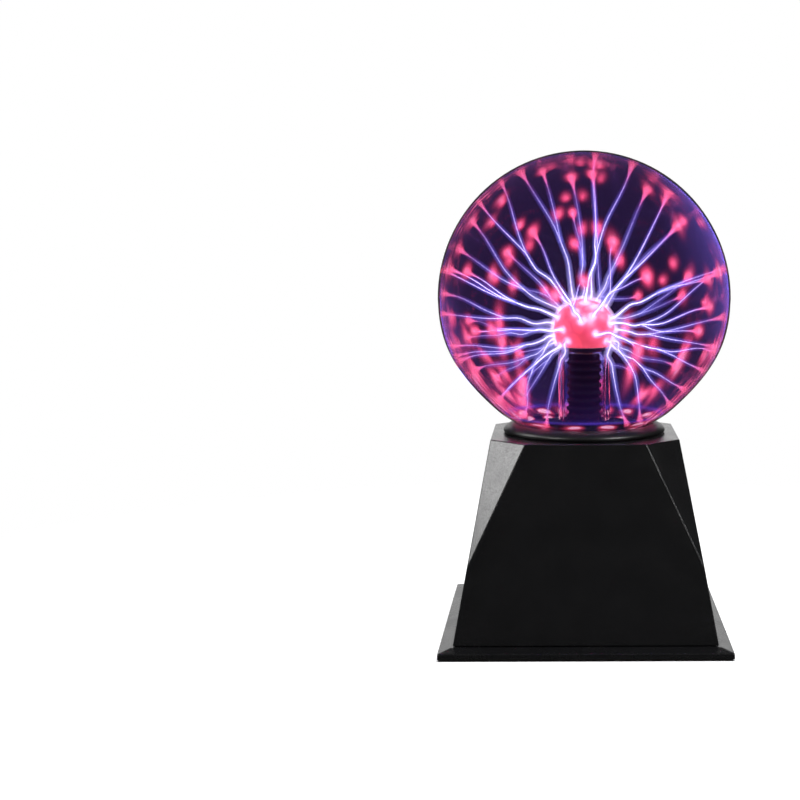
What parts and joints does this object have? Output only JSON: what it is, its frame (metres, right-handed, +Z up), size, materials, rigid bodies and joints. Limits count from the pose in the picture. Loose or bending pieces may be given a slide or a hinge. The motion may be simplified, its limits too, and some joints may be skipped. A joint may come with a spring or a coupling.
{
  "type": "plasma ball",
  "caption": "Desk plasma ball: a clear glass globe with a glowing electrode on a glass stem, in a rounded collar on a black tapering square base with faceted corners.",
  "frame": {"origin": "under the globe's axis, on the surface that the rubber feet stand on", "axes": "+Z up along the globe's axis; -Y is the front; +Y is the back with the switch and inlet; +X is to the right seen from the front"},
  "size_m": [0.15, 0.15, 0.2459],
  "materials": {
    "base_plate": "black, satin gloss",
    "board_screw_1": "plated",
    "board_screw_2": "plated",
    "board_screw_3": "plated",
    "board_screw_4": "plated",
    "capacitor_1": "blue sleeve",
    "capacitor_2": "blue sleeve",
    "capacitor_3": "blue sleeve",
    "case_screw_1": "plated",
    "case_screw_2": "plated",
    "case_screw_3": "plated",
    "case_screw_4": "plated",
    "circuit_board": "green laminate",
    "collar_ring": "black, satin gloss",
    "contact_rod": "turned",
    "contact_spring": "plated",
    "dc_jack": "dark, matte",
    "dc_jack_nut": "plated",
    "dc_jack_pin": "turned",
    "electrode_bulb": "glowing coral",
    "electrode_coating": "thin conductive lining",
    "flyback_bobbin": "moulded white",
    "flyback_core_lower": "ferrite",
    "flyback_core_upper": "ferrite",
    "glass_globe": "clear, smooth",
    "globe_gasket": "matte",
    "heat_sink": "extruded",
    "heat_sink_screw": "plated",
    "hv_cable": "matte",
    "insulating_sleeve": "ridged, satin black",
    "mic_wire": "insulation",
    "microphone": "pressed can",
    "oscillator_chip": "dark, matte",
    "power_transistor": "dark, matte",
    "power_wire_black": "insulation",
    "power_wire_red": "insulation",
    "primary_winding": "enamelled copper wire",
    "retainer_ring": "dark, matte",
    "retainer_screw_1": "plated",
    "retainer_screw_2": "plated",
    "retainer_screw_3": "plated",
    "rubber_foot_1": "matte",
    "rubber_foot_2": "matte",
    "rubber_foot_3": "matte",
    "rubber_foot_4": "matte",
    "secondary_winding": "taped winding",
    "stem_bung": "matte",
    "stem_tube": "clear, smooth",
    "switch_housing": "dark, matte",
    "switch_lever": "turned",
    "switch_plunger": "turned",
    "switch_rocker": "black, satin gloss",
    "switch_spring": "plated",
    "switch_terminal_1": "turned",
    "switch_terminal_2": "turned",
    "switch_terminal_3": "turned",
    "switch_wire": "insulation",
    "tower_shell": "black, satin gloss"
  },
  "bodies": {
    "base": {"base_plate": "base_plate", "board_screw_1": "board_screw_1", "board_screw_2": "board_screw_2", "board_screw_3": "board_screw_3", "board_screw_4": "board_screw_4", "capacitor_1": "capacitor_1", "capacitor_2": "capacitor_2", "capacitor_3": "capacitor_3", "case_screw_1": "case_screw_1", "case_screw_2": "case_screw_2", "case_screw_3": "case_screw_3", "case_screw_4": "case_screw_4", "circuit_board": "circuit_board", "collar_ring": "collar_ring", "contact_rod": "contact_rod", "contact_spring": "contact_spring", "dc_jack": "dc_jack", "dc_jack_nut": "dc_jack_nut", "dc_jack_pin": "dc_jack_pin", "electrode_bulb": "electrode_bulb", "electrode_coating": "electrode_coating", "flyback_bobbin": "flyback_bobbin", "flyback_core_lower": "flyback_core_lower", "flyback_core_upper": "flyback_core_upper", "glass_globe": "glass_globe", "globe_gasket": "globe_gasket", "heat_sink": "heat_sink", "heat_sink_screw": "heat_sink_screw", "hv_cable": "hv_cable", "insulating_sleeve": "insulating_sleeve", "mic_wire": "mic_wire", "microphone": "microphone", "oscillator_chip": "oscillator_chip", "power_transistor": "power_transistor", "power_wire_black": "power_wire_black", "power_wire_red": "power_wire_red", "primary_winding": "primary_winding", "retainer_ring": "retainer_ring", "retainer_screw_1": "retainer_screw_1", "retainer_screw_2": "retainer_screw_2", "retainer_screw_3": "retainer_screw_3", "rubber_foot_1": "rubber_foot_1", "rubber_foot_2": "rubber_foot_2", "rubber_foot_3": "rubber_foot_3", "rubber_foot_4": "rubber_foot_4", "secondary_winding": "secondary_winding", "stem_bung": "stem_bung", "stem_tube": "stem_tube", "switch_housing": "switch_housing", "switch_terminal_1": "switch_terminal_1", "switch_terminal_2": "switch_terminal_2", "switch_terminal_3": "switch_terminal_3", "switch_wire": "switch_wire", "tower_shell": "tower_shell"},
    "rocker": {"switch_rocker": "switch_rocker", "switch_plunger": "switch_plunger", "switch_spring": "switch_spring"},
    "lever": {"switch_lever": "switch_lever"}
  },
  "joints": [
    {"name": "mode_rocker", "type": "hinge", "parent": "base", "child": "rocker", "pos_m": [0.017, 0.06075, 0.027], "axis": [1, 0, 0], "range_deg": [-12, 12]},
    {"name": "contact_seesaw", "type": "hinge", "parent": "base", "child": "lever", "pos_m": [0.017, 0.05199, 0.02542], "axis": [1, 0, 0], "range_deg": [-7.2, 7.2]}
  ],
  "couplings": [
    {"joint": "contact_seesaw", "follows": "mode_rocker", "ratio": -0.6}
  ]
}
